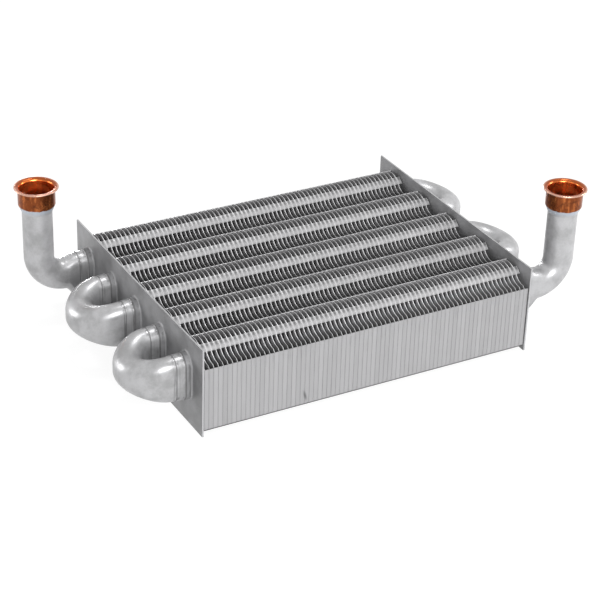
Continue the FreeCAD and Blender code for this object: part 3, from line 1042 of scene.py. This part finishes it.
@dataclass
class BrazeLines:
    """Uneven lines of braze where the tube sockets leave the collars of one plate.

    Attributes:
        side: The end of the pack.
        coat: The coating over the braze.
        bead_radius: The mean radius of a line.
        bead_offset: How far its middle stands off the socket and off the collar's rim.
        corners: Corners of a line's section.
        points: Sections along a line.
        wave_rate: Least and most swellings around a tube, for one wave.
        wave_start: Least and most angle at which a wave starts.
        wave_size: Least and most share of the radius that a wave adds.
    """

    side: Side
    coat: bpy.types.Material
    bead_radius: float = 0.42 * MM
    bead_offset: float = 0.18 * MM
    socket_half_width: float = 6.55 * MM
    socket_half_height: float = 14.85 * MM
    corners: int = 8
    points: int = 96
    waves: int = 4
    wave_rate: Span = (3.0, 17.0)
    wave_start: Span = (0.0, 6.28)
    wave_size: Span = (0.03, 0.08)
    seed: int = 11

    def ring_points(self, middle: float) -> list[tuple[Vector, Vector]]:
        """Points around a tube's socket, where it meets the collar.

        Args:
            middle: The tube's place along Y.

        Returns:
            Each point with the direction away from the tube.
        """
        straight = 2.0 * (self.socket_half_height - self.socket_half_width)
        half_turn = math.pi * self.socket_half_width
        length = 2.0 * (straight + half_turn)
        points = []
        for i in range(self.points):
            lap, run = divmod(i * length / self.points, straight + half_turn)
            sign = 1.0 if lap < 1.0 else -1.0
            if run < straight:
                away = Vector((0.0, sign, 0.0))
                height = sign * (-straight / 2.0 + run)
            else:
                angle = (run - straight) / self.socket_half_width
                away = Vector((0.0, sign * math.cos(angle), sign * math.sin(angle)))
                height = sign * straight / 2.0
            centre = Vector((self.side.value * COLLAR_RIM, middle, TUBE_MIDDLE + height))
            points.append((centre + away * self.socket_half_width, away))
        return points

    def add_line(self, shape: bmesh.types.BMesh, middle: float, dice: Random) -> None:
        """Adds the line around one tube.

        Args:
            shape: The mesh under construction.
            middle: The tube's place along Y.
            dice: Where the line's unevenness comes from.
        """
        spans = (self.wave_rate, self.wave_start, self.wave_size)
        waves = [[dice.uniform(*span) for span in spans] for _ in range(self.waves)]
        along = Vector((self.side.value, 0.0, 0.0))
        rings = []
        for i, (point, away) in enumerate(self.ring_points(middle)):
            turn = 2.0 * math.pi * i / self.points
            swell = 1.0
            for rate, start, size in waves:
                swell += size * math.sin(round(rate) * turn + start)
            centre = point + away * self.bead_offset + along * self.bead_offset
            ring = []
            for k in range(self.corners):
                angle = 2.0 * math.pi * k / self.corners
                offset = away * math.cos(angle) + along * math.sin(angle)
                ring.append(shape.verts.new(centre + offset * (self.bead_radius * swell)))
            rings.append(ring)
        for ring, following in zip(rings, rings[1:] + rings[:1]):
            for k in range(self.corners):
                after = (k + 1) % self.corners
                shape.faces.new((ring[k], ring[after], following[after], following[k]))

    def build(self) -> bpy.types.Object:
        """Makes the lines around the five tubes.

        Returns:
            The piece.
        """
        dice = Random(self.seed + self.side.value)
        shape = bmesh.new()
        for tube in range(TUBE_COUNT):
            self.add_line(shape, (TUBE_COUNT // 2 - tube) * TUBE_PITCH, dice)
        bmesh.ops.recalc_face_normals(shape, faces=shape.faces)
        name = f"braze_lines_{self.side.name.lower()}"
        mesh = bpy.data.meshes.new(name)
        shape.to_mesh(mesh)
        shape.free()
        mesh.shade_smooth()
        mesh.materials.append(self.coat)
        piece = add_object(name, mesh)
        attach(piece, "root")
        LOG.info("%s: %d faces", name, len(mesh.polygons))
        return piece


@dataclass
class FinBlock:
    """The fin pack and the two end plates that hold it.

    Attributes:
        nodes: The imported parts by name.
    """

    nodes: dict[str, bpy.types.Object]

    def dress(self) -> None:
        """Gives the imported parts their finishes."""
        dress(self.nodes["fin_pack"], FinCoat().build())
        plate = PlateCoat().build()
        for side in Side:
            dress(self.nodes[f"{side.name.lower()}_end_plate"], plate)


@dataclass(frozen=True)
class Lamp:
    """A soft square lamp that points at the part.

    Attributes:
        name: The lamp's name.
        place: Where it hangs.
        size: The side of its face.
        power: Its power in watts.
        aim: The point that it faces.
    """

    name: str
    place: Point
    size: float
    power: float
    aim: Point = (0.0, 0.0, 0.03)

    def build(self) -> None:
        """Makes the lamp."""
        data = bpy.data.lights.new(self.name, "AREA")
        data.shape = "SQUARE"
        data.size = self.size
        data.energy = self.power
        lamp = add_object(self.name, data)
        lamp.location = self.place
        lamp.visible_camera = False
        facing = Vector(self.aim) - Vector(self.place)
        lamp.rotation_euler = facing.to_track_quat("-Z", "Y").to_euler()
        LOG.info("%s: %.1f W", self.name, self.power)


@dataclass
class Studio:
    """Pale floor, soft light and the world around the part.

    Attributes:
        floor_size: The side of the floor.
        paper: The floor's colour, as it lights the part.
        lit: The part of the floor's white that needs light, and that a shadow takes away.
        glow: The part of the floor's white that is there without light.
        sky: The strength at which the world lights the part.
        lamps: The lamps.
    """

    floor_size: float = 8.0
    paper: Filled = (0.7, 0.7, 0.7, 1.0)
    lit: Filled = (0.2, 0.2, 0.2, 1.0)
    glow: float = 0.9
    sky: float = 0.16
    lamps: tuple[Lamp, ...] = (
        Lamp("key_lamp", (-0.2, -1.15, 0.52), 0.6, 12.0),
        Lamp("right_lamp", (0.7, -0.25, 0.3), 0.25, 2.1),
        Lamp("left_lamp", (-0.6, 0.4, 0.16), 0.25, 1.4),
        Lamp("top_lamp", (0.3, 0.0, 1.1), 0.22, 3.6),
        Lamp("rear_lamp", (0.15, 1.1, 0.1), 0.18, 6.0),
    )

    def build_world(self) -> None:
        """Makes the white surroundings."""
        world = bpy.data.worlds.new("white_studio")
        bpy.context.scene.world = world
        bench = Bench(world)
        light = bench.node("ShaderNodeBackground", None, {"Color": WHITE, "Strength": self.sky})
        white = bench.node("ShaderNodeBackground", None, {"Color": WHITE, "Strength": 1.0})
        mixed = bench.node("ShaderNodeMixShader", None, {0: bench.seen(), 1: light, 2: white})
        bench.node("ShaderNodeOutputWorld", None, {"Surface": mixed})

    def build_floor(self) -> None:
        """Makes the pale floor."""
        half = self.floor_size / 2.0
        mesh = bpy.data.meshes.new("floor")
        corners = [(-half, -half, 0.0), (half, -half, 0.0), (half, half, 0.0), (-half, half, 0.0)]
        mesh.from_pydata(corners, [], [(0, 1, 2, 3)])
        floor = add_object("floor", mesh)
        bench = Bench.for_material("pale_floor")
        paper = bench.node("ShaderNodeBsdfDiffuse", None, {"Color": self.paper})
        faint = bench.node("ShaderNodeBsdfDiffuse", None, {"Color": self.lit})
        glow = bench.node("ShaderNodeEmission", None, {"Color": WHITE, "Strength": self.glow})
        white = bench.node("ShaderNodeAddShader", None, {0: faint, 1: glow})
        mixed = bench.node("ShaderNodeMixShader", None, {0: bench.seen(), 1: paper, 2: white})
        bench.node("ShaderNodeOutputMaterial", None, {"Surface": mixed})
        mesh.materials.append(bench.owner)
        LOG.info("floor: %.1f m wide", self.floor_size)

    def build(self) -> None:
        """Makes the world, the floor and the lamps."""
        self.build_world()
        self.build_floor()
        for lamp in self.lamps:
            lamp.build()


@dataclass
class Viewpoint:
    """The camera, at the photograph's angle.

    Attributes:
        lens: The focal length in millimetres.
        sensor: The sensor's width in millimetres.
        clip: The nearest and farthest distance that it sees.
        place: Where it stands.
        right: Where the picture's right side points.
        up: Where the picture's upper side points.
    """

    lens: float = 116.5
    sensor: float = 36.0
    clip: Span = (0.01, 50.0)
    place: Point = (-0.52965, -0.93011, 0.61970)
    right: Point = (0.8765, -0.4805, 0.0297)
    up: Point = (0.2131, 0.4424, 0.8712)

    def build(self) -> None:
        """Makes the camera."""
        data = bpy.data.cameras.new("camera")
        data.lens = self.lens
        data.sensor_width = self.sensor
        data.clip_start, data.clip_end = self.clip
        camera = add_object("camera", data)
        right = Vector(self.right).normalized()
        back = right.cross(Vector(self.up)).normalized()
        turn = Matrix((right, back.cross(right), back)).transposed()
        camera.matrix_world = Matrix.Translation(self.place) @ turn.to_4x4()
        bpy.context.scene.camera = camera
        LOG.info("camera: %.1f mm lens", self.lens)


def main() -> None:
    """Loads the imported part, dresses it and sets the studio around it."""
    logging.basicConfig(level=logging.INFO, format="%(name)s: %(message)s")
    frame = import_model()
    bpy.context.scene.view_settings.view_transform = "Standard"
    nodes = frame["nodes"]
    coat = SilverCoat().build()
    FinBlock(nodes).dress()
    WaterPath(nodes, coat).dress()
    for side in Side:
        BrazeLines(side, coat).build()
    Studio().build()
    Viewpoint().build()


if __name__ == "__main__":
    main()
